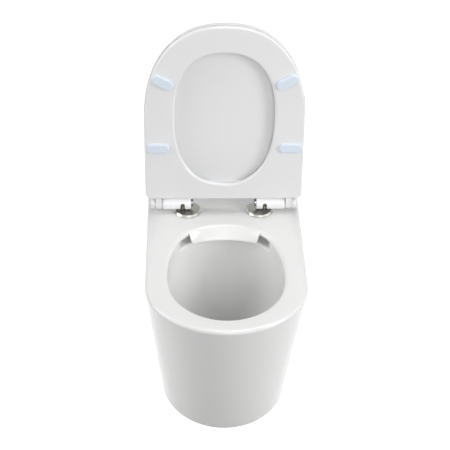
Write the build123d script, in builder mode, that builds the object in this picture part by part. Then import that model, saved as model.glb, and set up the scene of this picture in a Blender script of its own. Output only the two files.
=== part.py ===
from build123d import *
from math import cos, degrees, pi, radians, sin
import os

os.makedirs("parts", exist_ok=True)

# Frame: x = 0 is the centre line, y = 0 the wall, z = 0 the floor. The front faces -Y.

# Pan, outside
pan_height = 400
pan_width = 360
pan_projection = 520
pan_nose = 164
foot_width = 298
foot_projection = 401
foot_nose = 170
skirt_wall = 14
deck_thickness = 20
deck_edge_radius = 8
foot_edge_radius = 3
back_trim = 2

# Bowl: distances are from the wall, depths from the deck
opening_width = 259
opening_back = 139
opening_widest = 330
opening_front = 474
opening_squareness = 2.5
opening_edge_radius = 8
bowl_wall = 12
ledge_depth = 34
sump_height = 85
sump_centre = 212
sump_radius = 32
bowl_steps = 6
egg_points = 16

# Flush shelf and the water chamber behind it
shelf_drop = 30
shelf_top_half = 83
shelf_top_back = 168
shelf_lip_half = 74
shelf_lip_middle = 168
shelf_lip_back = 180
shelf_wall = 13
shelf_lip_radius = 4
chamber_half = 104
chamber_back = 118
chamber_front = 200
chamber_roof = 12
chamber_wall = 10
inlet_box_half = 45
inlet_box_back = 100
inlet_height = 345
inlet_bore_radius = 20.5
inlet_socket_radius = 27.5
inlet_socket_depth = 40
inlet_wall = 9
inlet_end = 10
seal_bore_radius = 22.5
seal_lip_radius = 32
seal_lip = 3

# Trap and outlet
trap_bore_radius = 30
trap_wall = 8
trap_bend_radius = 45
trap_leg = 112
trap_weir_height = 192
outlet_height = 180
outlet_radius = 51
outlet_wall = 6
outlet_end = 15
outlet_length = 50

# Floor brackets and side screws
bracket_from_wall = 150
bracket_length = 46
bracket_width = 34
bracket_height = 62
bracket_foot_thickness = 8
bracket_gap = 2
bracket_boss = 12
bracket_boss_reach = 17
bracket_corner_radius = 3
floor_hole_radius = 4
floor_hole_from_face = 23
side_screw_height = 42
side_screw_radius = 3
side_screw_length = 42
side_screw_head_radius = 6
side_screw_head = 3
side_screw_head_edge = 1.5
side_hole_clearance = 1
side_cap_radius = 10
side_cap_height = 6
side_cap_wall = 1.5
side_cap_edge = 3

# Seat hinge line
hinge_from_wall = 80
lean = radians(6.9)
seat_clearance = 8
buffer_gap = 0.3
lid_gap = 1
ring_thickness = 14
lid_thickness = 15

# Seat ring and lid: distances run along the seat from the hinge axis
seat_half_width = 182
seat_reach = 442
seat_nose = 234
seat_squareness = 2.3
seat_corner_radius = 12
nose_steps = 12
ring_edge_radius = 4
hole_half_width = 114
hole_near = 56
hole_widest = 228
hole_far = 379
hole_squareness = 2.4
hole_edge_radius = 5
lid_oversize = 1
lid_edge_radius = 7
lid_recess_depth = 5
lid_recess_border = 16
ear_from_side = 37
ear_width = 15
ear_edge_radius = 0.8
knuckle_width = 10.9
knuckle_edge_radius = 5
knuckle_gap = 0.6
lug_overlap = 1

# Hinge barrels, hubs, dampers and axles: distances from the centre line
barrel_start = 77
barrel_gap = 1
barrel_end_wall = 3
barrel_radius = 16
barrel_end_radius = 4
notch_gap = 1
leaf_start = 86
leaf_margin = 8
leaf_reach = 42
leaf_thickness = 5.6
leaf_gap = 0.3
leaf_screw_margin = 12
leaf_screw_reach = 31
leaf_screw_radius = 1.75
leaf_screw_head_radius = 3.5
leaf_screw_head = 1.6
leaf_screw_length = 10
hub_radius = 9
hub_start = 81
hub_end = 110.5
running_gap = 0.3
hub_bore_radius = 6
fit_clearance = 0.05
axle_radius = 4
axle_overlap = 8
damper_start = 112
post_hole_wall = 1.6
button_radius = 8.6
button_edge_radius = 1.5
button_start = 71.5
button_head = 6
button_stem = 9
spring_radius = 7.6
bush_wall = 2
knuckle_floor = 2

# Posts and rosettes on the deck
post_from_centre = 96.4
post_radius = 4
post_reach = 4
post_top_gap = 1
slot_half = 5
slot_overrun = 3
rosette_x = 85
rosette_y = 80
rosette_radius = 32.5
rosette_thickness = 5
rosette_bevel = 4
gasket_thickness = 1
gasket_inset = 1.5
seat_bolt_x = 77.5
seat_bolt_y = 85
seat_bolt_radius = 4
seat_bolt_head_radius = 8
seat_bolt_head = 4
seat_bolt_below = 62
deck_hole_radius = 7.5
bush_radius = 10
bush_length = 30
bush_gap = 0.2
nut_radius = 9
nut_height = 8
hex_socket_radius = 3
hex_socket_depth = 3
head_gap = 0.1

# Buffers under the ring and under the lid
buffer_length = 51
buffer_width = 22
buffer_stem_radius = 4
buffer_stem = 6
buffer_edge_radius = 2.5
front_buffer_from_side = 42
front_buffer_from_nose = 129
front_buffer_turn = 29
rear_buffer_from_side = 30
rear_buffer_reach = 150
lid_buffer_x = 62
lid_buffer_from_nose = 44
lid_buffer_radius = 9
lid_buffer_stem_radius = 3
lid_buffer_stem = 4

# Worked out
hinge_y = -hinge_from_wall
underside = lid_gap + ring_thickness
hinge_z = pan_height + seat_clearance + underside
notch_edge = barrel_radius + notch_gap
half_opening = opening_width / 2
ledge_z = pan_height - ledge_depth
sump_floor = sump_height - sump_radius
outlet_bore_radius = outlet_radius - outlet_wall
rosette_base = pan_height + gasket_thickness
rosette_top = rosette_base + rosette_thickness
into_deck = deck_thickness / 2
trap_end = -outlet_end - outlet_length / 2
inlet_rise = ledge_z - inlet_height
inlet_box_height = inlet_rise + 2 * inlet_bore_radius
ear_start = seat_half_width - ear_from_side
knuckle_start = ear_start + ear_width + knuckle_gap
barrel_end = ear_start - barrel_gap
damper_end = barrel_end - barrel_end_wall
leaf_end = barrel_end - leaf_margin
leaf_screws = (leaf_start + leaf_screw_margin, leaf_end - leaf_screw_margin)
front_buffer = (seat_half_width - front_buffer_from_side, seat_reach - front_buffer_from_nose, front_buffer_turn)
rear_buffer = (seat_half_width - rear_buffer_from_side, rear_buffer_reach, 0)
lid_buffer = (lid_buffer_x, seat_reach - lid_buffer_from_nose)

seat_plane = Plane(
    origin=(0, hinge_y, hinge_z),
    x_dir=(1, 0, 0),
    z_dir=(0, -cos(lean), sin(lean)),
)


def save(part, node):
    part.label = node
    export_step(part, f"parts/{node}.step")


def mirrored(right):
    """The same piece for the other side."""
    with BuildPart() as left:
        mirror(right.part, about=Plane.YZ)
    return left


def save_pair(right, node):
    save(right.part, f"{node}_right")
    save(mirrored(right).part, f"{node}_left")


def side_plane(x):
    """The plane across the hinge axis at x: local x runs along the seat, local y out of its underside."""
    return Plane(
        origin=(x, hinge_y, hinge_z),
        x_dir=(0, sin(lean), cos(lean)),
        z_dir=(1, 0, 0),
    )


def axle_plane(x):
    """The plane across the hinge axis at x, with local y straight up."""
    return Plane(origin=(x, hinge_y, hinge_z), x_dir=(0, 1, 0), z_dir=(1, 0, 0))


def power(value, squareness):
    return max(value, 0) ** (2 / squareness)


def horseshoe(half_width, reach, nose, start=0):
    """A straight-sided outline with an elliptical nose, from the wall forwards."""
    shoulder = -(reach - nose)
    with BuildSketch() as outline:
        with BuildLine():
            Polyline((half_width, shoulder), (half_width, start), (-half_width, start), (-half_width, shoulder))
            EllipticalCenterArc((0, shoulder), half_width, nose, start_angle=180, arc_size=180)
        make_face()
    return outline.sketch


def seat_outline(half_width, reach, start):
    """The seat's outline in its own plane: a straight hinge edge, straight sides and a squarish nose."""
    shoulder = seat_reach - seat_nose
    nose = reach - shoulder
    turns = [pi * step / nose_steps for step in range(1, nose_steps)]
    points = [(-half_width, shoulder)]
    for turn in turns:
        side = -1 if cos(turn) > 0 else 1
        x = side * half_width * power(abs(cos(turn)), seat_squareness)
        points.append((x, shoulder + nose * power(sin(turn), seat_squareness)))
    points.append((half_width, shoulder))
    with BuildSketch() as outline:
        with BuildLine():
            Polyline((half_width, shoulder), (half_width, start), (-half_width, start), (-half_width, shoulder))
            Spline(*points, tangents=[(0, 1), (0, -1)])
        make_face()
    return outline.sketch


def egg(half_width, near, widest, far, near_squareness=2, far_squareness=2):
    """An egg outline between near and far, widest between them."""
    points = []
    for step in range(egg_points):
        turn = 2 * pi * step / egg_points
        squareness, end = (near_squareness, near) if cos(turn) > 0 else (far_squareness, far)
        side = 1 if sin(turn) > 0 else -1
        x = side * half_width * power(abs(sin(turn)), squareness)
        points.append((x, widest + (end - widest) * power(abs(cos(turn)), squareness)))
    with BuildSketch() as outline:
        with BuildLine():
            Spline(*points, periodic=True)
        make_face()
    return outline.sketch


def opening(wall):
    near, far = -opening_back + wall, -opening_front - wall
    return egg(half_opening + wall, near, -opening_widest, far, opening_squareness)


def bowl_section(step, wall):
    """One level of the bowl, from the sump's floor at step 0 to the ledge at the last step."""
    share = step / bowl_steps
    level = sump_floor - wall + (ledge_z - sump_floor + wall) * share
    ease = sin(pi / 2 * share) ** 2
    half_width = sump_radius + (half_opening - sump_radius) * ease
    near = sump_centre - sump_radius + (opening_back - sump_centre + sump_radius) * ease
    widest = sump_centre + (opening_widest - sump_centre) * ease
    far = sump_centre + sump_radius + (opening_front - sump_centre - sump_radius) * ease
    squareness = 2 + (opening_squareness - 2) * ease
    with BuildSketch(Plane.XY.offset(level)) as section:
        add(egg(half_width + wall, -near + wall, -widest, -far - wall, squareness))
    return section.sketch


def bowl(wall):
    return [bowl_section(step, wall) for step in range(bowl_steps + 1)]


def outline_at(level, inset):
    """Skirt half width, reach and nose at a height, moved inwards by inset."""
    share = level / pan_height
    half_width = (foot_width + (pan_width - foot_width) * share) / 2 - inset
    reach = foot_projection + (pan_projection - foot_projection) * share - inset
    return half_width, reach, foot_nose + (pan_nose - foot_nose) * share - inset


def trap_path(last):
    with BuildLine(Plane.YZ) as path:
        FilletPolyline(
            (-sump_centre, sump_height),
            (-trap_leg, sump_height),
            (-trap_leg, trap_weir_height),
            (last, trap_weir_height),
            radius=trap_bend_radius,
        )
    return path.line


def trap_tube(radius, last, mode):
    with BuildSketch(towards_wall(sump_centre, sump_height)) as section:
        Circle(radius)
    sweep(section.sketch, path=trap_path(last), mode=mode)


def towards_wall(distance, height):
    """The plane facing the wall at a distance from it."""
    return Plane(origin=(0, -distance, height), x_dir=(1, 0, 0), z_dir=(0, 1, 0))


def skirt_side(side):
    """The plane of the skirt's outer face at a side screw, facing out of it."""
    splay = (pan_width - foot_width) / 2
    half_width = outline_at(side_screw_height, 0)[0]
    return Plane(
        origin=(side * half_width, -bracket_from_wall, side_screw_height),
        x_dir=(0, 1, 0),
        z_dir=(side * pan_height, 0, -splay),
    )


def seat_corners(piece):
    """The two corners at the hinge edge, square to the seat."""
    corners = piece.edges().filter_by(Axis(seat_plane.origin, seat_plane.z_dir))
    return corners.sort_by(Axis(seat_plane.origin, seat_plane.y_dir))[:2]


def long_outline(edge):
    """True for the edges that run round the seat, but not along its hinge edge."""
    middle = seat_plane.to_local_coords(edge.center())
    return middle.Y > notch_edge + lug_overlap


def chamber_outline(wall):
    shoulder = chamber_half - (chamber_front - chamber_back) / 2
    with BuildSketch() as outline:
        with BuildLine():
            Polyline(
                (-chamber_half - wall, -chamber_front - wall),
                (-chamber_half - wall, -chamber_back - chamber_half + shoulder),
                (-shoulder, -chamber_back + wall),
                (shoulder, -chamber_back + wall),
                (chamber_half + wall, -chamber_back - chamber_half + shoulder),
                (chamber_half + wall, -chamber_front - wall),
                close=True,
            )
        make_face()
    return outline.sketch


def shelf_face(level, half, middle, ends, wall):
    with BuildSketch(Plane.XY.offset(level)) as section:
        with BuildLine():
            ThreePointArc((-half, -ends), (0, -middle), (half, -ends))
            Line((half, -ends), (half, -ends + wall))
            ThreePointArc((half, -ends + wall), (0, -middle + wall), (-half, -ends + wall))
            Line((-half, -ends + wall), (-half, -ends))
        make_face()
    return section.sketch


# Pan: a tapered skirt, the bowl hung in it, the trap behind the bowl and the flush chamber above that
with BuildPart() as pan:
    for level in (0, pan_height):
        with BuildSketch(Plane.XY.offset(level)):
            add(horseshoe(*outline_at(level, 0), start=back_trim))
    loft(ruled=True)
    rim = pan.faces().sort_by(Axis.Z)[-1].edges().filter_by(lambda edge: edge.center().Y < -1)
    fillet(rim, deck_edge_radius)
    foot = pan.faces().sort_by(Axis.Z)[0].edges().filter_by(lambda edge: edge.center().Y < -1)
    fillet(foot, foot_edge_radius)
    for level in (-deck_thickness, pan_height - deck_thickness):
        with BuildSketch(Plane.XY.offset(level)):
            add(horseshoe(*outline_at(level, skirt_wall), start=skirt_wall))
    loft(ruled=True, mode=Mode.SUBTRACT)
    # Ground flat where it meets the wall
    split(bisect_by=Plane.XZ)
    # Mouth of the bowl, with the flush chamber's walls round it
    with BuildSketch(Plane.XY.offset(ledge_z - bowl_wall)):
        add(opening(bowl_wall))
    extrude(amount=ledge_depth + bowl_wall - into_deck)
    with BuildSketch(Plane.XY.offset(ledge_z - chamber_wall)):
        add(chamber_outline(chamber_wall))
    extrude(amount=ledge_depth + chamber_wall - into_deck)
    with BuildSketch(Plane.XY.offset(ledge_z)):
        add(opening(0))
    extrude(amount=ledge_depth, mode=Mode.SUBTRACT)
    mouth = pan.faces().sort_by(Axis.Z)[-1].inner_wires()[0].edges()
    fillet(mouth, opening_edge_radius)
    # Outer walls of the bowl, trap and inlet
    loft(bowl(bowl_wall))
    trap_tube(trap_bore_radius + trap_wall, trap_end, Mode.ADD)
    with BuildSketch(towards_wall(outlet_end + outlet_length, outlet_height)):
        Circle(outlet_radius)
    extrude(amount=outlet_length)
    with BuildSketch(towards_wall(inlet_box_back - chamber_wall, inlet_height)):
        with Locations((0, -inlet_rise / 2)):
            Rectangle(2 * (inlet_box_half + chamber_wall), inlet_box_height + 2 * chamber_wall)
    extrude(amount=-(opening_back - inlet_box_back + chamber_wall - bowl_wall))
    with BuildSketch(towards_wall(inlet_end, inlet_height)):
        Circle(inlet_socket_radius + inlet_wall)
    extrude(amount=-(inlet_box_back - inlet_end))
    # The ways through
    loft(bowl(0), mode=Mode.SUBTRACT)
    trap_tube(trap_bore_radius, trap_end, Mode.SUBTRACT)
    with BuildSketch(towards_wall(outlet_end, outlet_height)):
        Circle(outlet_bore_radius)
    extrude(amount=-(outlet_length - outlet_wall), mode=Mode.SUBTRACT)
    with BuildSketch(Plane.XY.offset(ledge_z)):
        add(chamber_outline(0))
    extrude(amount=ledge_depth - chamber_roof, mode=Mode.SUBTRACT)
    with BuildSketch(towards_wall(inlet_box_back, inlet_height)):
        with Locations((0, -inlet_rise / 2)):
            Rectangle(2 * inlet_box_half, inlet_box_height)
    extrude(amount=-(opening_back - inlet_box_back - bowl_wall), mode=Mode.SUBTRACT)
    with BuildSketch(towards_wall(inlet_end, inlet_height)):
        Circle(inlet_bore_radius)
    extrude(amount=-(inlet_box_back - inlet_end), mode=Mode.SUBTRACT)
    with BuildSketch(towards_wall(inlet_end, inlet_height)):
        Circle(inlet_socket_radius)
    extrude(amount=-inlet_socket_depth, mode=Mode.SUBTRACT)
    # Flush shelf, sloping down into the bowl
    shelf_top = shelf_face(pan_height, shelf_top_half, opening_back, shelf_top_back, shelf_wall)
    shelf_lip = shelf_face(pan_height - shelf_drop, shelf_lip_half, shelf_lip_middle, shelf_lip_back, shelf_wall)
    loft([shelf_top, shelf_lip], ruled=True)
    lip = pan.edges().filter_by_position(Axis.Z, pan_height - shelf_drop - 1, pan_height - shelf_drop + 1)
    fillet(lip.filter_by_position(Axis.Y, -shelf_lip_back, -shelf_lip_middle + shelf_wall), shelf_lip_radius)
    # Holes for the seat bolts and the side screws
    with Locations((0, 0, pan_height)):
        with Locations((-seat_bolt_x, -seat_bolt_y), (seat_bolt_x, -seat_bolt_y)):
            Hole(deck_hole_radius, depth=deck_thickness)
    for side in (-1, 1):
        with BuildSketch(skirt_side(side)):
            Circle(side_screw_radius + side_hole_clearance)
        extrude(amount=skirt_wall + bracket_gap, both=True, mode=Mode.SUBTRACT)
save(pan.part, "pan")

# Rubber cone in the flush inlet
with BuildPart() as flush_seal:
    with BuildSketch(towards_wall(inlet_end, inlet_height)):
        Circle(inlet_socket_radius)
    extrude(amount=-inlet_socket_depth + seal_lip)
    with BuildSketch(towards_wall(inlet_end, inlet_height)):
        Circle(seal_lip_radius)
    extrude(amount=seal_lip)
    with BuildSketch(towards_wall(inlet_end - seal_lip, inlet_height)):
        Circle(seal_bore_radius)
    extrude(amount=-inlet_socket_depth - seal_lip, mode=Mode.SUBTRACT)
save(flush_seal.part, "flush_seal")

# Angle brackets that stand on the floor inside the skirt, with the screws and caps outside
bracket_face = outline_at(0, skirt_wall)[0] - bracket_gap
with BuildPart() as floor_bracket:
    with BuildSketch(Plane.XY):
        with Locations((bracket_face, -bracket_from_wall)):
            Rectangle(bracket_width, bracket_length, align=(Align.MAX, Align.CENTER))
    extrude(amount=bracket_foot_thickness)
    with BuildSketch(Plane.XY):
        with Locations((bracket_face, -bracket_from_wall)):
            Rectangle(bracket_foot_thickness, bracket_length, align=(Align.MAX, Align.CENTER))
    extrude(amount=bracket_height)
    with BuildSketch(Plane.XY.offset(side_screw_height - bracket_boss)):
        with Locations((bracket_face, -bracket_from_wall)):
            Rectangle(bracket_boss_reach, 2 * bracket_boss, align=(Align.MAX, Align.CENTER))
    extrude(amount=2 * bracket_boss)
    fillet(floor_bracket.edges().filter_by(Axis.Z), bracket_corner_radius)
    with Locations((bracket_face - floor_hole_from_face, -bracket_from_wall, bracket_foot_thickness)):
        Hole(floor_hole_radius, depth=bracket_foot_thickness)
    with BuildSketch(skirt_side(1)):
        Circle(side_screw_radius)
    extrude(amount=-skirt_wall - bracket_gap - bracket_width, mode=Mode.SUBTRACT)
save_pair(floor_bracket, "floor_bracket")

with BuildPart() as side_screw:
    with BuildSketch(skirt_side(1)):
        Circle(side_screw_head_radius)
    extrude(amount=side_screw_head)
    fillet(side_screw.faces().sort_by(Axis.X)[-1].edges(), side_screw_head_edge)
    with BuildSketch(skirt_side(1)):
        Circle(side_screw_radius)
    extrude(amount=-side_screw_length)
save_pair(side_screw, "side_screw")

with BuildPart() as side_cap:
    with BuildSketch(skirt_side(1)):
        Circle(side_cap_radius)
    extrude(amount=side_cap_height)
    fillet(side_cap.faces().sort_by(Axis.X)[-1].edges(), side_cap_edge)
    with BuildSketch(skirt_side(1)):
        Circle(side_screw_head_radius + side_hole_clearance)
    extrude(amount=side_cap_height - side_cap_wall, mode=Mode.SUBTRACT)
save_pair(side_cap, "side_cap")

# Hinge fixings on the deck: gasket, rosette, post, bolt, rubber bush and nut
with BuildPart() as gasket:
    with BuildSketch(Plane.XY.offset(pan_height)):
        with Locations((rosette_x, -rosette_y)):
            Circle(rosette_radius - gasket_inset)
        with Locations((seat_bolt_x, -seat_bolt_y)):
            Circle(deck_hole_radius, mode=Mode.SUBTRACT)
    extrude(amount=gasket_thickness)
save_pair(gasket, "rosette_gasket")

with BuildPart() as rosette:
    with BuildSketch(Plane.XY.offset(rosette_base)):
        with Locations((rosette_x, -rosette_y)):
            Circle(rosette_radius)
        with Locations((post_from_centre, hinge_y)):
            Circle(post_radius, mode=Mode.SUBTRACT)
    extrude(amount=rosette_thickness)
    top = rosette.faces().sort_by(Axis.Z)[-1].outer_wire().edges()
    chamfer(top, rosette_bevel)
    with Locations((seat_bolt_x, -seat_bolt_y, rosette_top)):
        Hole(seat_bolt_radius + head_gap, depth=rosette_thickness)
        Cone(
            seat_bolt_radius + head_gap,
            seat_bolt_head_radius + head_gap,
            seat_bolt_head + head_gap,
            align=(Align.CENTER, Align.CENTER, Align.MAX),
            mode=Mode.SUBTRACT,
        )
save_pair(rosette, "rosette")

with BuildPart() as post:
    with BuildSketch(Plane.XY.offset(rosette_base)):
        with Locations((post_from_centre, hinge_y)):
            Circle(post_radius)
    extrude(amount=hinge_z + post_reach - rosette_base)
    chamfer(post.faces().sort_by(Axis.Z)[-1].edges(), post_top_gap)
save_pair(post, "hinge_post")

with BuildPart() as seat_bolt:
    with Locations((seat_bolt_x, -seat_bolt_y, rosette_top - head_gap)):
        Cone(
            seat_bolt_radius,
            seat_bolt_head_radius,
            seat_bolt_head,
            align=(Align.CENTER, Align.CENTER, Align.MAX),
        )
    with BuildSketch(Plane.XY.offset(rosette_top - head_gap - seat_bolt_head)):
        with Locations((seat_bolt_x, -seat_bolt_y)):
            Circle(seat_bolt_radius)
    extrude(amount=-(rosette_top - seat_bolt_head - pan_height + seat_bolt_below))
    with BuildSketch(Plane.XY.offset(rosette_top - head_gap)):
        with Locations((seat_bolt_x, -seat_bolt_y)):
            RegularPolygon(hex_socket_radius, 6)
    extrude(amount=-hex_socket_depth, mode=Mode.SUBTRACT)
save_pair(seat_bolt, "seat_bolt")

bush_top = pan_height - deck_thickness - bush_gap
with BuildPart() as deck_bush:
    with BuildSketch(Plane.XY.offset(bush_top - bush_length)):
        with Locations((seat_bolt_x, -seat_bolt_y)):
            Circle(bush_radius)
    extrude(amount=bush_length)
    with BuildSketch(Plane.XY.offset(bush_top)):
        with Locations((seat_bolt_x, -seat_bolt_y)):
            Circle(deck_hole_radius - bush_gap)
    extrude(amount=deck_thickness)
    with Locations((seat_bolt_x, -seat_bolt_y, pan_height)):
        Hole(seat_bolt_radius + bush_gap, depth=deck_thickness + bush_length + 2 * bush_gap)
save_pair(deck_bush, "deck_bush")

with BuildPart() as bolt_nut:
    with BuildSketch(Plane.XY.offset(bush_top - bush_length - nut_height)):
        with Locations((seat_bolt_x, -seat_bolt_y)):
            RegularPolygon(nut_radius, 6)
            Circle(seat_bolt_radius, mode=Mode.SUBTRACT)
    extrude(amount=nut_height)
save_pair(bolt_nut, "bolt_nut")

# Hub, axle and release button, which lift off the posts with the seat
hub_hole_top = hinge_z + post_reach + post_top_gap
button_bore = post_from_centre - post_radius - fit_clearance - post_hole_wall
with BuildPart() as hub:
    with BuildSketch(axle_plane(hub_start)):
        Circle(hub_radius)
    extrude(amount=hub_end - hub_start)
    with BuildSketch(axle_plane(hub_start)):
        Circle(hub_bore_radius)
    extrude(amount=button_bore - hub_start, mode=Mode.SUBTRACT)
    with BuildSketch(axle_plane(hub_end - axle_overlap)):
        Circle(axle_radius)
    extrude(amount=axle_overlap, mode=Mode.SUBTRACT)
    with BuildSketch(Plane.XY.offset(hinge_z - hub_radius)):
        with Locations((post_from_centre, hinge_y)):
            Circle(post_radius + fit_clearance)
    extrude(amount=hub_hole_top - hinge_z + hub_radius, mode=Mode.SUBTRACT)
save_pair(hub, "hinge_hub")

knuckle_bore = knuckle_width - knuckle_floor
with BuildPart() as axle:
    with BuildSketch(axle_plane(hub_end - axle_overlap)):
        Circle(axle_radius)
    extrude(amount=knuckle_start + knuckle_bore - knuckle_gap - hub_end + axle_overlap)
save_pair(axle, "hinge_axle")

with BuildPart() as release_button:
    with BuildSketch(axle_plane(button_start)):
        Circle(button_radius)
    extrude(amount=button_head)
    fillet(release_button.faces().sort_by(Axis.X)[0].edges(), button_edge_radius)
    with BuildSketch(axle_plane(button_start + button_head)):
        Circle(hub_bore_radius - fit_clearance)
    extrude(amount=button_stem)
save_pair(release_button, "release_button")

with BuildPart() as button_spring:
    with BuildSketch(axle_plane(button_start + button_head)):
        Circle(spring_radius)
        Circle(hub_bore_radius + fit_clearance, mode=Mode.SUBTRACT)
    extrude(amount=hub_start - button_start - button_head)
save_pair(button_spring, "button_spring")

# Dampers, one for the seat and one for the lid, each in its barrel
bore_radius = hub_radius + running_gap
with BuildPart() as damper:
    with BuildSketch(axle_plane(damper_start)):
        Circle(bore_radius)
        Circle(axle_radius + fit_clearance, mode=Mode.SUBTRACT)
    extrude(amount=damper_end - damper_start)
save_pair(damper, "hinge_damper")


def hinge_barrel(face):
    """The right-hand barrel with its screw leaf let into the seat ring (face 1) or the lid (face -1)."""
    bottom = radians(90 + slot_overrun)
    near = lid_gap + leaf_gap if face > 0 else -leaf_gap
    far = near + face * leaf_thickness
    with BuildPart() as barrel:
        with BuildSketch(axle_plane(barrel_start)):
            Circle(barrel_radius)
        extrude(amount=barrel_end - barrel_start)
        fillet(barrel.faces().sort_by(Axis.X)[-1].edges(), barrel_end_radius)
        with BuildSketch(side_plane(leaf_start)):
            with BuildLine():
                inner = bore_radius + leaf_gap
                Polyline((inner, near), (leaf_reach, near), (leaf_reach, far), (inner, far), close=True)
            make_face()
        extrude(amount=leaf_end - leaf_start)
        with BuildSketch(axle_plane(barrel_start)):
            Circle(bore_radius)
        extrude(amount=damper_end - barrel_start, mode=Mode.SUBTRACT)
        with BuildSketch(axle_plane(barrel_end)):
            Circle(axle_radius + running_gap)
        extrude(amount=damper_end - barrel_end, mode=Mode.SUBTRACT)
        with BuildSketch(slot_plane(-lean)):
            with Locations((0, hub_radius)):
                Rectangle(2 * slot_half, barrel_radius, align=(Align.CENTER, Align.MIN))
        revolve(
            axis=Axis((0, hinge_y, hinge_z), (1, 0, 0)),
            revolution_arc=degrees(bottom + lean),
            mode=Mode.SUBTRACT,
        )
        for turn in (-lean, bottom):
            outwards = (0, -cos(turn), -sin(turn))
            with BuildSketch(Plane(origin=(post_from_centre, hinge_y, hinge_z), x_dir=(1, 0, 0), z_dir=outwards)):
                Circle(slot_half)
            extrude(amount=2 * barrel_radius, mode=Mode.SUBTRACT)
        for x in leaf_screws:
            with BuildSketch(leaf_plane(x, near, face)):
                Circle(leaf_screw_radius)
            extrude(amount=-leaf_thickness, mode=Mode.SUBTRACT)
            with BuildSketch(leaf_plane(x, near, face)):
                Circle(leaf_screw_head_radius)
            extrude(amount=-leaf_screw_head, mode=Mode.SUBTRACT)
    return barrel


def slot_plane(turn):
    """The plane through the hinge axis whose local y points turn below the front."""
    return Plane(
        origin=(post_from_centre, hinge_y, hinge_z),
        x_dir=(1, 0, 0),
        z_dir=(0, sin(turn), -cos(turn)),
    )


def leaf_plane(x, near, face):
    """The plane of a leaf's outer face at one of its screws, facing out of it."""
    centre = seat_plane.offset(near).from_local_coords((x, leaf_screw_reach, 0))
    return Plane(origin=centre, x_dir=(1, 0, 0), z_dir=seat_plane.z_dir * -face)


def leaf_screw_pair(face):
    """The two screws that hold a leaf, as separate solids of one piece."""
    near = lid_gap + leaf_gap if face > 0 else -leaf_gap
    with BuildPart() as screws:
        for x in leaf_screws:
            with BuildSketch(leaf_plane(x, near, face)):
                Circle(leaf_screw_head_radius)
            extrude(amount=-leaf_screw_head)
            with BuildSketch(leaf_plane(x, near, face)):
                Circle(leaf_screw_radius)
            extrude(amount=-leaf_screw_length)
    return screws


save(mirrored(hinge_barrel(1)).part, "hinge_barrel_left")
save(hinge_barrel(-1).part, "hinge_barrel_right")
save(mirrored(leaf_screw_pair(1)).part, "seat_leaf_screws")
save(leaf_screw_pair(-1).part, "lid_leaf_screws")


def leaf_pocket(side, face):
    """The pocket a leaf lies in, cut into the ring (face 1) or the lid (face -1) in use."""
    depth = leaf_thickness + leaf_gap
    start = lid_gap if face > 0 else 0
    with BuildSketch(seat_plane.offset(start)) as pocket:
        with Locations((side * (leaf_start + leaf_end) / 2, (leaf_reach + leaf_gap) / 2)):
            Rectangle(leaf_end - leaf_start + 2 * leaf_gap, leaf_reach + leaf_gap)
    extrude(pocket.sketch, amount=face * depth, mode=Mode.SUBTRACT)
    with BuildSketch(seat_plane.offset(start)) as pilots:
        with Locations(*[(side * x, leaf_screw_reach) for x in leaf_screws]):
            Circle(leaf_screw_radius)
    extrude(pilots.sketch, amount=face * (leaf_gap + leaf_screw_length), mode=Mode.SUBTRACT)


def lug(start, width, near, far, rounding):
    """A lug on the hinge axis with a rounded outer end, joined to the seat between near and far."""
    joint = notch_edge + lug_overlap
    with BuildPart() as shape:
        with BuildSketch(side_plane(start)):
            Circle(max(abs(near), abs(far)))
        extrude(amount=width)
        fillet(shape.faces().sort_by(Axis.X)[-1].edges(), rounding)
        with BuildSketch(side_plane(start)):
            with BuildLine():
                Polyline((0, near), (joint, near), (joint, far), (0, far), close=True)
            make_face()
        extrude(amount=width - rounding)
    return shape


bush_radius_out = axle_radius + fit_clearance + bush_wall
ear = lug(ear_start, ear_width, lid_gap, underside, ear_edge_radius)
with BuildPart() as seat_ring:
    with BuildSketch(seat_plane.offset(lid_gap)):
        add(seat_outline(seat_half_width, seat_reach, notch_edge))
    extrude(amount=ring_thickness)
    fillet(seat_corners(seat_ring), seat_corner_radius)
    fillet(seat_ring.edges().filter_by(long_outline), ring_edge_radius)
    with BuildSketch(seat_plane):
        add(egg(hole_half_width, hole_near, hole_widest, hole_far, hole_squareness, hole_squareness))
    extrude(amount=underside, mode=Mode.SUBTRACT)
    along = Axis(seat_plane.origin, seat_plane.z_dir)
    for face in (seat_ring.faces().sort_by(along)[0], seat_ring.faces().sort_by(along)[-1]):
        fillet(face.inner_wires()[0].edges(), hole_edge_radius)
    add(ear.part)
    mirror(ear.part, about=Plane.YZ)
    for side in (-1, 1):
        with BuildSketch(side_plane(side * ear_start)):
            Circle(bush_radius_out)
        extrude(amount=side * ear_width, mode=Mode.SUBTRACT)
    leaf_pocket(-1, 1)
    for x, reach, _ in (front_buffer, rear_buffer):
        with BuildSketch(seat_plane.offset(underside)):
            with Locations((x, reach), (-x, reach)):
                Circle(buffer_stem_radius)
        extrude(amount=-buffer_stem, mode=Mode.SUBTRACT)
save(seat_ring.part, "seat_ring")

with BuildPart() as ear_bush:
    with BuildSketch(side_plane(ear_start)):
        Circle(bush_radius_out)
        Circle(axle_radius + fit_clearance, mode=Mode.SUBTRACT)
    extrude(amount=ear_width)
save_pair(ear_bush, "ear_bush")

for name, (x, reach, turn) in (("seat_buffer_front", front_buffer), ("seat_buffer_rear", rear_buffer)):
    with BuildPart() as seat_buffer:
        with BuildSketch(seat_plane.offset(underside)):
            with Locations(Location((x, reach, 0), (0, 0, turn))):
                SlotOverall(buffer_length, buffer_width)
        extrude(amount=seat_clearance - buffer_gap)
        fillet(seat_buffer.faces().sort_by(Axis(seat_plane.origin, seat_plane.z_dir))[-1].edges(), buffer_edge_radius)
        with BuildSketch(seat_plane.offset(underside)):
            with Locations((x, reach)):
                Circle(buffer_stem_radius)
        extrude(amount=-buffer_stem)
    save_pair(seat_buffer, name)

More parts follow.
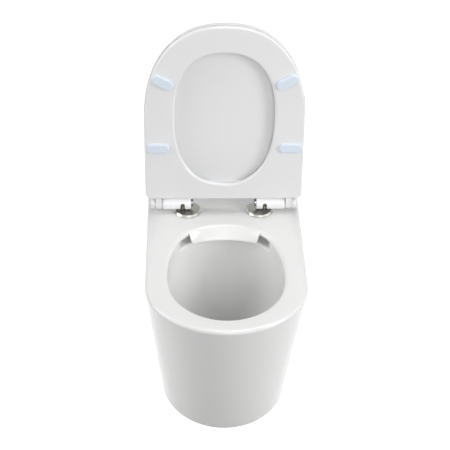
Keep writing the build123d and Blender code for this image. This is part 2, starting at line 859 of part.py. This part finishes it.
# Lid, over the ring
knuckle = lug(knuckle_start, knuckle_width, -lid_thickness, 0, knuckle_edge_radius)
with BuildPart() as lid:
    with BuildSketch(seat_plane):
        add(seat_outline(seat_half_width + lid_oversize, seat_reach + lid_oversize, notch_edge))
    extrude(amount=-lid_thickness)
    fillet(seat_corners(lid), seat_corner_radius)
    fillet(lid.faces().sort_by(Axis(seat_plane.origin, seat_plane.z_dir))[0].edges(), lid_edge_radius)
    with BuildSketch(seat_plane) as recess:
        border = lid_recess_border - lid_oversize
        add(seat_outline(seat_half_width - border, seat_reach - border, hole_near))
        fillet(recess.vertices().group_by(Axis.Y)[0], seat_corner_radius)
    extrude(amount=-lid_recess_depth, mode=Mode.SUBTRACT)
    add(knuckle.part)
    mirror(knuckle.part, about=Plane.YZ)
    for side in (-1, 1):
        with BuildSketch(side_plane(side * knuckle_start)):
            Circle(bush_radius_out)
        extrude(amount=side * knuckle_bore, mode=Mode.SUBTRACT)
    leaf_pocket(1, -1)
    with BuildSketch(seat_plane.offset(-lid_recess_depth)):
        with Locations(lid_buffer, (-lid_buffer[0], lid_buffer[1])):
            Circle(lid_buffer_stem_radius)
    extrude(amount=-lid_buffer_stem, mode=Mode.SUBTRACT)
save(lid.part, "lid")

with BuildPart() as knuckle_bush:
    with BuildSketch(side_plane(knuckle_start)):
        Circle(bush_radius_out)
        Circle(axle_radius + fit_clearance, mode=Mode.SUBTRACT)
    extrude(amount=knuckle_bore)
save_pair(knuckle_bush, "knuckle_bush")

with BuildPart() as lid_bumper:
    with BuildSketch(seat_plane.offset(-lid_recess_depth)):
        with Locations(lid_buffer):
            Circle(lid_buffer_radius)
    extrude(amount=lid_recess_depth + lid_gap - buffer_gap)
    with BuildSketch(seat_plane.offset(-lid_recess_depth)):
        with Locations(lid_buffer):
            Circle(lid_buffer_stem_radius)
    extrude(amount=-lid_buffer_stem)
save_pair(lid_bumper, "lid_bumper")
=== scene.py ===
import bmesh
import bpy
import numpy as np
from math import radians
from mathutils import Matrix, Vector


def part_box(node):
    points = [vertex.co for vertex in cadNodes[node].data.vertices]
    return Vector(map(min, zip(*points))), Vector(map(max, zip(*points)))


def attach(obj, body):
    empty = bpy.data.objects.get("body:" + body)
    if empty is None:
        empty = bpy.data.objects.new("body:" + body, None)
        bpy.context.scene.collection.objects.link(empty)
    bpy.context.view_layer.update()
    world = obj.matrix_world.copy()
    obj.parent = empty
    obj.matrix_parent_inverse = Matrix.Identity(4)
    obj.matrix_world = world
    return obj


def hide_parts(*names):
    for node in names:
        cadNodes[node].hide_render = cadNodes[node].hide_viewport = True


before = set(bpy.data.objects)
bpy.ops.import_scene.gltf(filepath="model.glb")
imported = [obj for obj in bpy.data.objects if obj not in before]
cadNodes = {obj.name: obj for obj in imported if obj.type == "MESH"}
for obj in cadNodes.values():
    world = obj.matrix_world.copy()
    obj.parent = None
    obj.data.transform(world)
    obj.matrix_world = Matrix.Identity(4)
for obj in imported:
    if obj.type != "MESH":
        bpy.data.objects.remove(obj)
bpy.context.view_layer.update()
scene = bpy.context.scene
print("frame loaded,", len(cadNodes), "nodes")

scene.view_settings.view_transform = "Standard"

# Camera: the photograph's own place, aim and lens, from a fit to the object's edges
camera = {
    "place": (-0.082655, -2.515188, 2.155694),
    "right": (0.99957702, -0.02594702, 0.01313514),
    "up": (0.0048508, 0.59407816, 0.8043927),
    "forward": (0.02867489, 0.80398874, -0.59395274),
    "lens": 101.52,
    "sensor": 36,
    "sees": (0.05, 60),
}


def makeCamera(values):
    data = bpy.data.cameras.new("camera")
    data.lens = values["lens"]
    data.sensor_width = values["sensor"]
    data.clip_start, data.clip_end = values["sees"]
    thing = bpy.data.objects.new("camera", data)
    scene.collection.objects.link(thing)
    columns = [Vector(values["right"]), Vector(values["up"]), -Vector(values["forward"])]
    turn = Matrix(columns).transposed().to_4x4()
    thing.matrix_world = Matrix.Translation(values["place"]) @ turn
    scene.camera = thing


makeCamera(camera)
print("camera set")


# sRGB hex to the linear colour that nodes take
def toLinear(hexColour):
    parts = [int(hexColour[i:i + 2], 16) / 255 for i in (1, 3, 5)]
    return [p / 12.92 if p <= 0.04045 else ((p + 0.055) / 1.055) ** 2.4 for p in parts] + [1.0]


def addNode(tree, kind, inputs=None, **settings):
    new = tree.nodes.new(kind)
    for name, value in settings.items():
        setattr(new, name, value)
    for name, value in (inputs or {}).items():
        if isinstance(value, bpy.types.NodeSocket):
            tree.links.new(value, new.inputs[name])
        else:
            new.inputs[name].default_value = value
    return new


# An empty material, its tree and the place that its patterns read
def startMaterial(name):
    material = bpy.data.materials.new(name)
    material.use_nodes = True
    tree = material.node_tree
    tree.nodes.clear()
    return material, tree, addNode(tree, "ShaderNodeTexCoord").outputs["Object"]


def finishMaterial(tree, inputs):
    shader = addNode(tree, "ShaderNodeBsdfPrincipled", inputs)
    addNode(tree, "ShaderNodeOutputMaterial", {"Surface": shader.outputs[0]})


# Texture scale for a pattern of a real width
def perMetre(millimetres):
    return 1000 / millimetres


# Light: a soft box at each side, before each side, low and high in front, and above, in a nearly dark room
studio = {
    "room": 0.03,
    "lamps": {
        "right": {"place": (2.4, -0.35, 1.5), "aim": (0, -0.25, 0.45), "size": (1.4, 2.0), "watts": 4},
        "left": {"place": (-2.4, -0.35, 1.5), "aim": (0, -0.25, 0.45), "size": (1.4, 2.0), "watts": 33},
        "frontLow": {"place": (0.5, -2.9, 1.9), "aim": (0, -0.3, 0.4), "size": (1.6, 0.8), "watts": 25},
        "frontHigh": {"place": (0.4, -1.7, 2.9), "aim": (0, -0.3, 0.4), "size": (1.6, 1.0), "watts": 5},
        "rightFront": {"place": (2.3, -1.6, 1.5), "aim": (0, -0.3, 0.4), "size": (1.2, 1.4), "watts": 42},
        "leftFront": {"place": (-2.3, -1.6, 1.5), "aim": (0, -0.3, 0.4), "size": (1.2, 1.4), "watts": 12},
        "top": {"place": (0.4, 0.2, 2.9), "aim": (0, -0.3, 0.4), "size": (1.8, 1.2), "watts": 28},
    },
    "floorReach": 9,
    "floorColour": "#AAAAAA",
    "floorGlow": 0.9,
}


def makeLamp(name, values):
    data = bpy.data.lights.new(name, "AREA")
    data.shape = "RECTANGLE"
    data.size, data.size_y = values["size"]
    data.energy = values["watts"]
    thing = bpy.data.objects.new(name, data)
    scene.collection.objects.link(thing)
    place, aim = Vector(values["place"]), Vector(values["aim"])
    turn = (aim - place).to_track_quat("-Z", "Y").to_matrix().to_4x4()
    thing.matrix_world = Matrix.Translation(place) @ turn


# 1 for rays that show the background, 0 for those that only carry light
def seenRays(tree):
    path = addNode(tree, "ShaderNodeLightPath")
    kinds = ("Camera", "Glossy", "Transmission")
    direct, glossy, through = [path.outputs[f"Is {kind} Ray"] for kind in kinds]
    seen = addNode(tree, "ShaderNodeMath", {0: direct, 1: glossy}, operation="MAXIMUM").outputs[0]
    return addNode(tree, "ShaderNodeMath", {0: seen, 1: through}, operation="MAXIMUM").outputs[0]


def makeRoom(values):
    world = bpy.data.worlds.new("studio room")
    scene.world = world
    world.use_nodes = True
    tree = world.node_tree
    tree.nodes.clear()
    seen = seenRays(tree)
    strength = addNode(tree, "ShaderNodeMapRange", {"Value": seen, "To Min": values["room"], "To Max": 1.0})
    back = addNode(tree, "ShaderNodeBackground", {"Color": (1, 1, 1, 1), "Strength": strength.outputs[0]})
    addNode(tree, "ShaderNodeOutputWorld", {"Surface": back.outputs[0]})
    for name, lamp in values["lamps"].items():
        makeLamp(name, lamp)


def makeFloor(values):
    reach = values["floorReach"]
    corners = [(-reach, -reach, 0), (reach, -reach, 0), (reach, reach, 0), (-reach, reach, 0)]
    mesh = bpy.data.meshes.new("floor")
    mesh.from_pydata(corners, [], [(0, 1, 2, 3)])
    floor = bpy.data.objects.new("floor", mesh)
    scene.collection.objects.link(floor)
    material = bpy.data.materials.new("pale floor")
    material.use_nodes = True
    tree = material.node_tree
    tree.nodes.clear()
    matt = addNode(tree, "ShaderNodeBsdfDiffuse", {"Color": toLinear(values["floorColour"])})
    glow = addNode(tree, "ShaderNodeMath", {0: seenRays(tree), 1: values["floorGlow"]}, operation="MULTIPLY")
    light = addNode(tree, "ShaderNodeEmission", {"Strength": glow.outputs[0]})
    both = addNode(tree, "ShaderNodeAddShader", {0: matt.outputs[0], 1: light.outputs[0]})
    addNode(tree, "ShaderNodeOutputMaterial", {"Surface": both.outputs[0]})
    mesh.materials.append(material)


makeRoom(studio)
makeFloor(studio)
print("studio set")

# Widths and depths of every pattern below are in millimetres

# Vitreous china, sprayed with white glaze and fired: white, very glossy, a faint ripple under reflections
china = {
    "colour": "#E6E6E5",
    "shade": "#E3E3E2",
    "shadeWidth": 140,
    "roughness": (0.05, 0.11),
    "ripple": 9.0,
    "rippleDepth": 0.05,
    "rippleStrength": 0.6,
    "ior": 1.52,
}


def makeGlazedChina(values):
    material, tree, place = startMaterial("vitreous china, glazed")
    shadeScale, rippleScale = perMetre(values["shadeWidth"]), perMetre(values["ripple"])
    wide = addNode(tree, "ShaderNodeTexNoise", {"Vector": place, "Scale": shadeScale, "Detail": 2.0})
    ripple = addNode(tree, "ShaderNodeTexNoise", {"Vector": place, "Scale": rippleScale, "Detail": 1.0})
    # Inputs 6 and 7 and output 2 are the Mix node's colours
    shades = {0: wide.outputs["Fac"], 6: toLinear(values["colour"]), 7: toLinear(values["shade"])}
    colour = addNode(tree, "ShaderNodeMix", shades, data_type="RGBA")
    low, high = values["roughness"]
    gloss = {"Value": wide.outputs["Fac"], "To Min": low, "To Max": high}
    relief = {
        "Height": ripple.outputs["Fac"],
        "Distance": values["rippleDepth"] / 1000,
        "Strength": values["rippleStrength"],
    }
    finishMaterial(tree, {
        "Base Color": colour.outputs[2],
        "Roughness": addNode(tree, "ShaderNodeMapRange", gloss).outputs[0],
        "Normal": addNode(tree, "ShaderNodeBump", relief).outputs[0],
        "IOR": values["ior"],
    })
    return material


# Stainless steel, brushed across the top and finer on the bevelled rim: grey with fine streaks, and a lighter
# rim that is a painted highlight along the edge
rosetteSteel = {
    "top": "#9A9994",
    # painted highlight: the rim's colour, lighter than the top's
    "rim": "#BDBCB7",
    "rimWidth": 3.8,
    "rimBlend": 0.3,
    "streakWidth": 0.6,  # real streaks are a tenth of this and wouldn't show
    "streakLength": 30,
    "streakDepth": 0.02,
    "streakStrength": (0.7, 0.05),
    "roughness": (0.34, 0.24),
}


# 0 on the flat top of either rosette, 1 on its rim, where the highlight is painted and the polish is finer
def rosetteRim(tree, place, values):
    low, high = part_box("rosette_right")
    middle = [(low[i] + high[i]) / 2 for i in (0, 1)]
    start = (high[0] - low[0]) / 2 - values["rimWidth"] / 1000
    blend = values["rimBlend"] / 1000
    parts = addNode(tree, "ShaderNodeSeparateXYZ", {0: place}).outputs
    outwards = addNode(tree, "ShaderNodeMath", {0: parts[0]}, operation="ABSOLUTE").outputs[0]
    across = addNode(tree, "ShaderNodeMath", {0: outwards, 1: middle[0]}, operation="SUBTRACT").outputs[0]
    along = addNode(tree, "ShaderNodeMath", {0: parts[1], 1: middle[1]}, operation="SUBTRACT").outputs[0]
    spoke = addNode(tree, "ShaderNodeCombineXYZ", {0: across, 1: along}).outputs[0]
    radius = addNode(tree, "ShaderNodeVectorMath", {0: spoke}, operation="LENGTH").outputs["Value"]
    span = {"Value": radius, "From Min": start - blend, "From Max": start + blend}
    return addNode(tree, "ShaderNodeMapRange", span).outputs[0]


def makeRosetteSteel(values):
    material, tree, place = startMaterial("stainless steel, brushed and bevelled")
    rim = rosetteRim(tree, place, values)
    fine = perMetre(values["streakWidth"])
    stretch = {"Vector": place, "Scale": (perMetre(values["streakLength"]), fine, fine)}
    brushed = addNode(tree, "ShaderNodeMapping", stretch).outputs[0]
    streak = addNode(tree, "ShaderNodeTexNoise", {"Vector": brushed, "Scale": 1.0, "Detail": 2.0})
    # The rim gets the lighter colour, a painted highlight
    shades = {0: rim, 6: toLinear(values["top"]), 7: toLinear(values["rim"])}
    colour = addNode(tree, "ShaderNodeMix", shades, data_type="RGBA")
    rough, strength = [
        addNode(tree, "ShaderNodeMapRange", {"Value": rim, "To Min": top, "To Max": edge}).outputs[0]
        for top, edge in (values["roughness"], values["streakStrength"])
    ]
    relief = {"Height": streak.outputs["Fac"], "Distance": values["streakDepth"] / 1000, "Strength": strength}
    finishMaterial(tree, {
        "Base Color": colour.outputs[2],
        "Roughness": rough,
        "Normal": addNode(tree, "ShaderNodeBump", relief).outputs[0],
        "Metallic": 1.0,
    })
    return material


# The other finishes are one colour each, with a grain in their gloss and a faint relief. The real grain is
# mostly finer than half a millimetre and wouldn't show, so it is drawn coarser.
plainFinishes = {
    # White and hard, an even gloss softer than the glaze, with long shallow waves where it was buffed
    "thermoset": {
        "name": "urea thermoset, compression moulded", "colour": "#E8E8E9", "ior": 1.55,
        "roughness": (0.16, 0.26), "grain": 30.0, "depth": 0.04,
    },
    # White with a cool cast, an even satin gloss
    "barrel": {
        "name": "PBT, injection moulded", "colour": "#F4F4F6", "ior": 1.55,
        "roughness": (0.18, 0.30), "grain": 0.8, "depth": 0.004,
    },
    # Pale blue, a soft waxy gloss
    "buffer": {
        "name": "EVA, moulded", "colour": "#DCE6F2", "ior": 1.48,
        "roughness": (0.24, 0.36), "grain": 1.2, "depth": 0.01,
    },
    # Black, a dull sheen from the tool
    "blackPlastic": {
        "name": "acetal, turned", "colour": "#1B1B1D", "ior": 1.48,
        "roughness": (0.29, 0.41), "grain": 0.6, "depth": 0.01,
    },
    # Ivory, nearly matt
    "nylon": {
        "name": "nylon, injection moulded", "colour": "#DEDDD6", "ior": 1.53,
        "roughness": (0.39, 0.51), "grain": 0.8, "depth": 0.01,
    },
    # Black and matt, a fine pitted skin
    "rubber": {
        "name": "EPDM rubber, moulded", "colour": "#161616", "ior": 1.52,
        "roughness": (0.54, 0.66), "grain": 0.5, "depth": 0.03,
    },
    # Grey and bright, with faintly uneven reflections
    "polished": {
        "name": "stainless steel, polished", "colour": "#9B9A97", "metallic": 1.0,
        "roughness": (0.08, 0.20), "grain": 2.0, "depth": 0.01,
    },
    # Dull greenish gold, the skin that the passivating bath leaves
    "olive": {
        "name": "zinc alloy, olive passivated", "colour": "#8F8C66", "metallic": 1.0,
        "roughness": (0.32, 0.44), "grain": 0.7, "depth": 0.01,
    },
    # Bluish grey with a soft, slightly speckled shine
    "zinc": {
        "name": "steel, zinc plated", "colour": "#B9BFC9", "metallic": 1.0,
        "roughness": (0.22, 0.34), "grain": 0.6, "depth": 0.01,
    },
    # A dark mirror, with hardly any grain in its gloss
    "chrome": {
        "name": "zinc alloy, chromium plated", "colour": "#8E9094", "metallic": 1.0,
        "roughness": (0.08, 0.12), "grain": 3.0, "depth": 0.01,
    },
}
grainStrength = 0.5


def makePlain(values):
    material, tree, place = startMaterial(values["name"])
    spots = {"Vector": place, "Scale": perMetre(values["grain"]), "Detail": 3.0}
    grain = addNode(tree, "ShaderNodeTexNoise", spots).outputs["Fac"]
    low, high = values["roughness"]
    rough = addNode(tree, "ShaderNodeMapRange", {"Value": grain, "To Min": low, "To Max": high})
    relief = {"Height": grain, "Distance": values["depth"] / 1000, "Strength": grainStrength}
    inputs = {
        "Base Color": toLinear(values["colour"]),
        "Roughness": rough.outputs[0],
        "Normal": addNode(tree, "ShaderNodeBump", relief).outputs[0],
        "Metallic": values.get("metallic", 0.0),
    }
    if "ior" in values:  # metals keep the shader's own
        inputs["IOR"] = values["ior"]
    finishMaterial(tree, inputs)
    return material


materials = {name: makePlain(values) for name, values in plainFinishes.items()}
materials["china"] = makeGlazedChina(china)
materials["rosette"] = makeRosetteSteel(rosetteSteel)

# Which finish each piece has, left and right alike
finishes = {
    "pan": "china",
    "flush_seal": "rubber",
    "floor_bracket": "nylon",
    "side_screw": "zinc",
    "side_cap": "chrome",
    "rosette_gasket": "rubber",
    "rosette": "rosette",
    "hinge_post": "polished",
    "seat_bolt": "polished",
    "deck_bush": "rubber",
    "bolt_nut": "zinc",
    "hinge_hub": "olive",
    "hinge_axle": "polished",
    "release_button": "chrome",
    "button_spring": "zinc",
    "hinge_damper": "blackPlastic",
    "hinge_barrel": "barrel",
    "seat_leaf_screws": "zinc",
    "lid_leaf_screws": "zinc",
    "seat_ring": "thermoset",
    "lid": "thermoset",
    "ear_bush": "blackPlastic",
    "knuckle_bush": "blackPlastic",
    "seat_buffer_front": "buffer",
    "seat_buffer_rear": "buffer",
    "lid_bumper": "buffer",
}


def dressNodes():
    for name, thing in cadNodes.items():
        base = name.removesuffix("_left").removesuffix("_right")
        thing.data.materials.clear()
        thing.data.materials.append(materials[finishes[base]])


dressNodes()
print("materials on", len(cadNodes), "nodes")

# Pan: the edges of the flush shelf, its windows and the bowl's rim behind them, rounded as the glaze rounds
# them. Only the points in a box round the shelf move. Sizes are in metres.
panEdges = {
    "halfWidth": 0.135,
    "fromWall": (0.115, 0.265),
    "aboveDeck": 0.0005,
    "belowDeck": 0.065,
    "fade": 0.012,
    "longest": 0.0032,
    "cutRounds": 10,
    "turns": 30,
    "pull": 0.5,
    "push": -0.34,
    "sharpAngle": 40,
    "samePoint": 1e-5,
}


def shelfBox(values, deck):
    near, far = values["fromWall"]
    low = Vector((-values["halfWidth"], -far, deck - values["belowDeck"]))
    high = Vector((values["halfWidth"], -near, deck + values["aboveDeck"]))
    return low, high


# Cuts every edge inside the box down to a longest length
def refineRegion(work, values, low, high):
    for _ in range(values["cutRounds"]):
        cuts = []
        for edge in work.edges:
            if edge.calc_length() > values["longest"]:
                a, b = (v.co for v in edge.verts)
                if any(all(low[i] <= p[i] <= high[i] for i in range(3)) for p in (a, (a + b) / 2, b)):
                    cuts.append(edge)
        if not cuts:
            break
        bmesh.ops.subdivide_edges(work, edges=cuts, cuts=1)
        bmesh.ops.triangulate(work, faces=[f for f in work.faces if len(f.verts) > 3])


# Relaxes the points inside the box, less and less towards its sides. A pull towards the neighbours and a
# smaller push away from them take turns, so that the edges round off and nothing shrinks.
def relaxRegion(mesh, values, low, high, deck):
    count = len(mesh.vertices)
    points = np.empty(count * 3)
    mesh.vertices.foreach_get("co", points)
    points = points.reshape(-1, 3)
    ends = np.empty(len(mesh.edges) * 2, dtype=np.int64)
    mesh.edges.foreach_get("vertices", ends)
    ends = ends.reshape(-1, 2)
    depth = np.minimum(points - np.array(low), np.array(high) - points)
    depth[:, 2] = points[:, 2] - low[2]
    weight = np.clip(depth.min(axis=1) / values["fade"], 0, 1)
    touched = (weight[ends[:, 0]] > 0) | (weight[ends[:, 1]] > 0)
    ends = ends[touched]
    degree = np.zeros(count)
    np.add.at(degree, ends[:, 0], 1)
    np.add.at(degree, ends[:, 1], 1)
    degree = np.maximum(degree, 1)[:, None]
    for step in [values["pull"], values["push"]] * values["turns"]:
        total = np.zeros_like(points)
        np.add.at(total, ends[:, 0], points[ends[:, 1]])
        np.add.at(total, ends[:, 1], points[ends[:, 0]])
        points += step * weight[:, None] * (total / degree - points)
        points[:, 2] = np.minimum(points[:, 2], deck)
    mesh.vertices.foreach_set("co", points.ravel())
    mesh.update()


def makeSoftPan(values):
    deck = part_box("pan")[1][2]
    low, high = shelfBox(values, deck)
    work = bmesh.new()
    work.from_mesh(cadNodes["pan"].data)
    bmesh.ops.remove_doubles(work, verts=work.verts, dist=values["samePoint"])
    refineRegion(work, values, low, high)
    mesh = bpy.data.meshes.new("glazedPan")
    work.to_mesh(mesh)
    work.free()
    relaxRegion(mesh, values, low, high, deck)
    mesh.polygons.foreach_set("use_smooth", [True] * len(mesh.polygons))
    mesh.set_sharp_from_angle(angle=radians(values["sharpAngle"]))
    rough = bpy.data.objects.new("glazedPanRaw", mesh)
    scene.collection.objects.link(rough)
    weighted = rough.modifiers.new("flat faces lead", "WEIGHTED_NORMAL")
    weighted.keep_sharp = True
    shaped = bpy.data.meshes.new_from_object(rough.evaluated_get(bpy.context.evaluated_depsgraph_get()))
    bpy.data.objects.remove(rough)
    pan = bpy.data.objects.new("glazedPan", shaped)
    shaped.materials.clear()
    shaped.materials.append(materials["china"])
    scene.collection.objects.link(pan)
    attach(pan, "pan")
    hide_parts("pan")
    print("pan with", len(shaped.polygons), "faces")


makeSoftPan(panEdges)


def startTree(name, inputs):
    tree = bpy.data.node_groups.new(name, "GeometryNodeTree")
    for label, kind in inputs.items():
        tree.interface.new_socket(label, in_out="INPUT", socket_type=kind)
    tree.interface.new_socket("Geometry", in_out="OUTPUT", socket_type="NodeSocketGeometry")
    return tree, addNode(tree, "NodeGroupInput").outputs


def endTree(tree, geometry, material):
    real = addNode(tree, "GeometryNodeRealizeInstances", {0: geometry})
    dressed = addNode(tree, "GeometryNodeSetMaterial", {"Geometry": real.outputs[0], "Material": material})
    addNode(tree, "NodeGroupOutput", {0: dressed.outputs[0]})


# Runs a tree with its inputs set and gives the plain mesh it makes
def runTree(tree, values):
    holder = bpy.data.objects.new("holder", bpy.data.meshes.new("holder"))
    scene.collection.objects.link(holder)
    modifier = holder.modifiers.new("tree", "NODES")
    modifier.node_group = tree
    for item in tree.interface.items_tree:
        if item.in_out == "INPUT":
            modifier[item.identifier] = values[item.name]
    mesh = bpy.data.meshes.new_from_object(holder.evaluated_get(bpy.context.evaluated_depsgraph_get()))
    bpy.data.objects.remove(holder)
    return mesh


# Puts a finished mesh in its place and gives it to a body
def placePiece(name, mesh, place, body):
    mesh.transform(place)
    shape = bmesh.new()
    shape.from_mesh(mesh)
    bmesh.ops.recalc_face_normals(shape, faces=shape.faces)
    shape.to_mesh(mesh)
    shape.free()
    piece = bpy.data.objects.new(name, mesh)
    scene.collection.objects.link(piece)
    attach(piece, body)


# Middle of a node's box
def boxMiddle(node):
    low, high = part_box(node)
    return [(low[i] + high[i]) / 2 for i in range(3)]


# Release buttons: grip ribs round each head, in metres. They stay outside the barrel when it is pressed.
gripRibs = {"count": 28, "fromEnd": 0.0018, "length": 0.0012, "width": 0.0009, "depth": 0.0006}


def ribTree(material):
    labels = {"Radius": "NodeSocketFloat", "Count": "NodeSocketInt", "Size": "NodeSocketVector"}
    tree, given = startTree("grip ribs", labels)
    circle = {"Resolution": given["Count"], "Radius": given["Radius"]}
    ring = addNode(tree, "GeometryNodeCurvePrimitiveCircle", circle)
    spots = addNode(tree, "GeometryNodeCurveToPoints", {0: ring.outputs[0], "Count": given["Count"]}).outputs
    rib = addNode(tree, "GeometryNodeMeshCube", {"Size": given["Size"]})
    inputs = {"Points": spots[0], "Instance": rib.outputs[0], "Rotation": spots["Rotation"]}
    ribs = addNode(tree, "GeometryNodeInstanceOnPoints", inputs)
    endTree(tree, ribs.outputs[0], material)
    return tree


def makeGrip(side, tree, values):
    low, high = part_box(f"release_button_{side}")
    x, y, z = boxMiddle(f"release_button_{side}")
    fromCentre = min(abs(low[0]), abs(high[0])) + values["fromEnd"]
    size = (values["depth"] * 2, values["width"], values["length"])  # half of the depth is sunk in the button
    inputs = {"Radius": (high[1] - low[1]) / 2, "Count": values["count"], "Size": size}
    place = Matrix.Translation((fromCentre if x > 0 else -fromCentre, y, z))
    along = place @ Matrix.Rotation(radians(90), 4, "Y")
    placePiece(f"button_grip_{side}", runTree(tree, inputs), along, f"button_{side}")


# Seat bolts: the rolled thread on the end that stands below each nut, in metres
boltThread = {
    "radius": 0.0040,
    "pitch": 0.00125,
    "ridge": 0.0003,
    "belowNut": 0.0004,
    "turnSteps": 24,
    "sides": 6,
}


def threadTree(material, values):
    labels = ("Radius", "Height", "Turns", "Ridge")
    tree, given = startTree("bolt thread", {label: "NodeSocketFloat" for label in labels})
    helix = addNode(tree, "GeometryNodeCurveSpiral", {
        "Resolution": values["turnSteps"],
        "Rotations": given["Turns"],
        "Start Radius": given["Radius"],
        "End Radius": given["Radius"],
        "Height": given["Height"],
    })
    circle = {"Resolution": values["sides"], "Radius": given["Ridge"]}
    ridge = addNode(tree, "GeometryNodeCurvePrimitiveCircle", circle)
    inputs = {"Curve": helix.outputs[0], "Profile Curve": ridge.outputs[0], "Fill Caps": True}
    thread = addNode(tree, "GeometryNodeCurveToMesh", inputs)
    endTree(tree, thread.outputs[0], material)
    return tree


def makeThread(side, tree, values):
    x, y, _ = boxMiddle(f"bolt_nut_{side}")
    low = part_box(f"seat_bolt_{side}")[0][2] + values["ridge"]
    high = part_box(f"bolt_nut_{side}")[0][2] - values["belowNut"]
    inputs = {
        "Radius": values["radius"],
        "Height": high - low,
        "Turns": (high - low) / values["pitch"],
        "Ridge": values["ridge"],
    }
    place = Matrix.Translation((x, y, low))
    placePiece(f"bolt_thread_{side}", runTree(tree, inputs), place, "pan")


ribs, thread = ribTree(materials["chrome"]), threadTree(materials["zinc"], boltThread)
for side in ("left", "right"):
    makeGrip(side, ribs, gripRibs)
    makeThread(side, thread, boltThread)
print("grip ribs and bolt threads made")
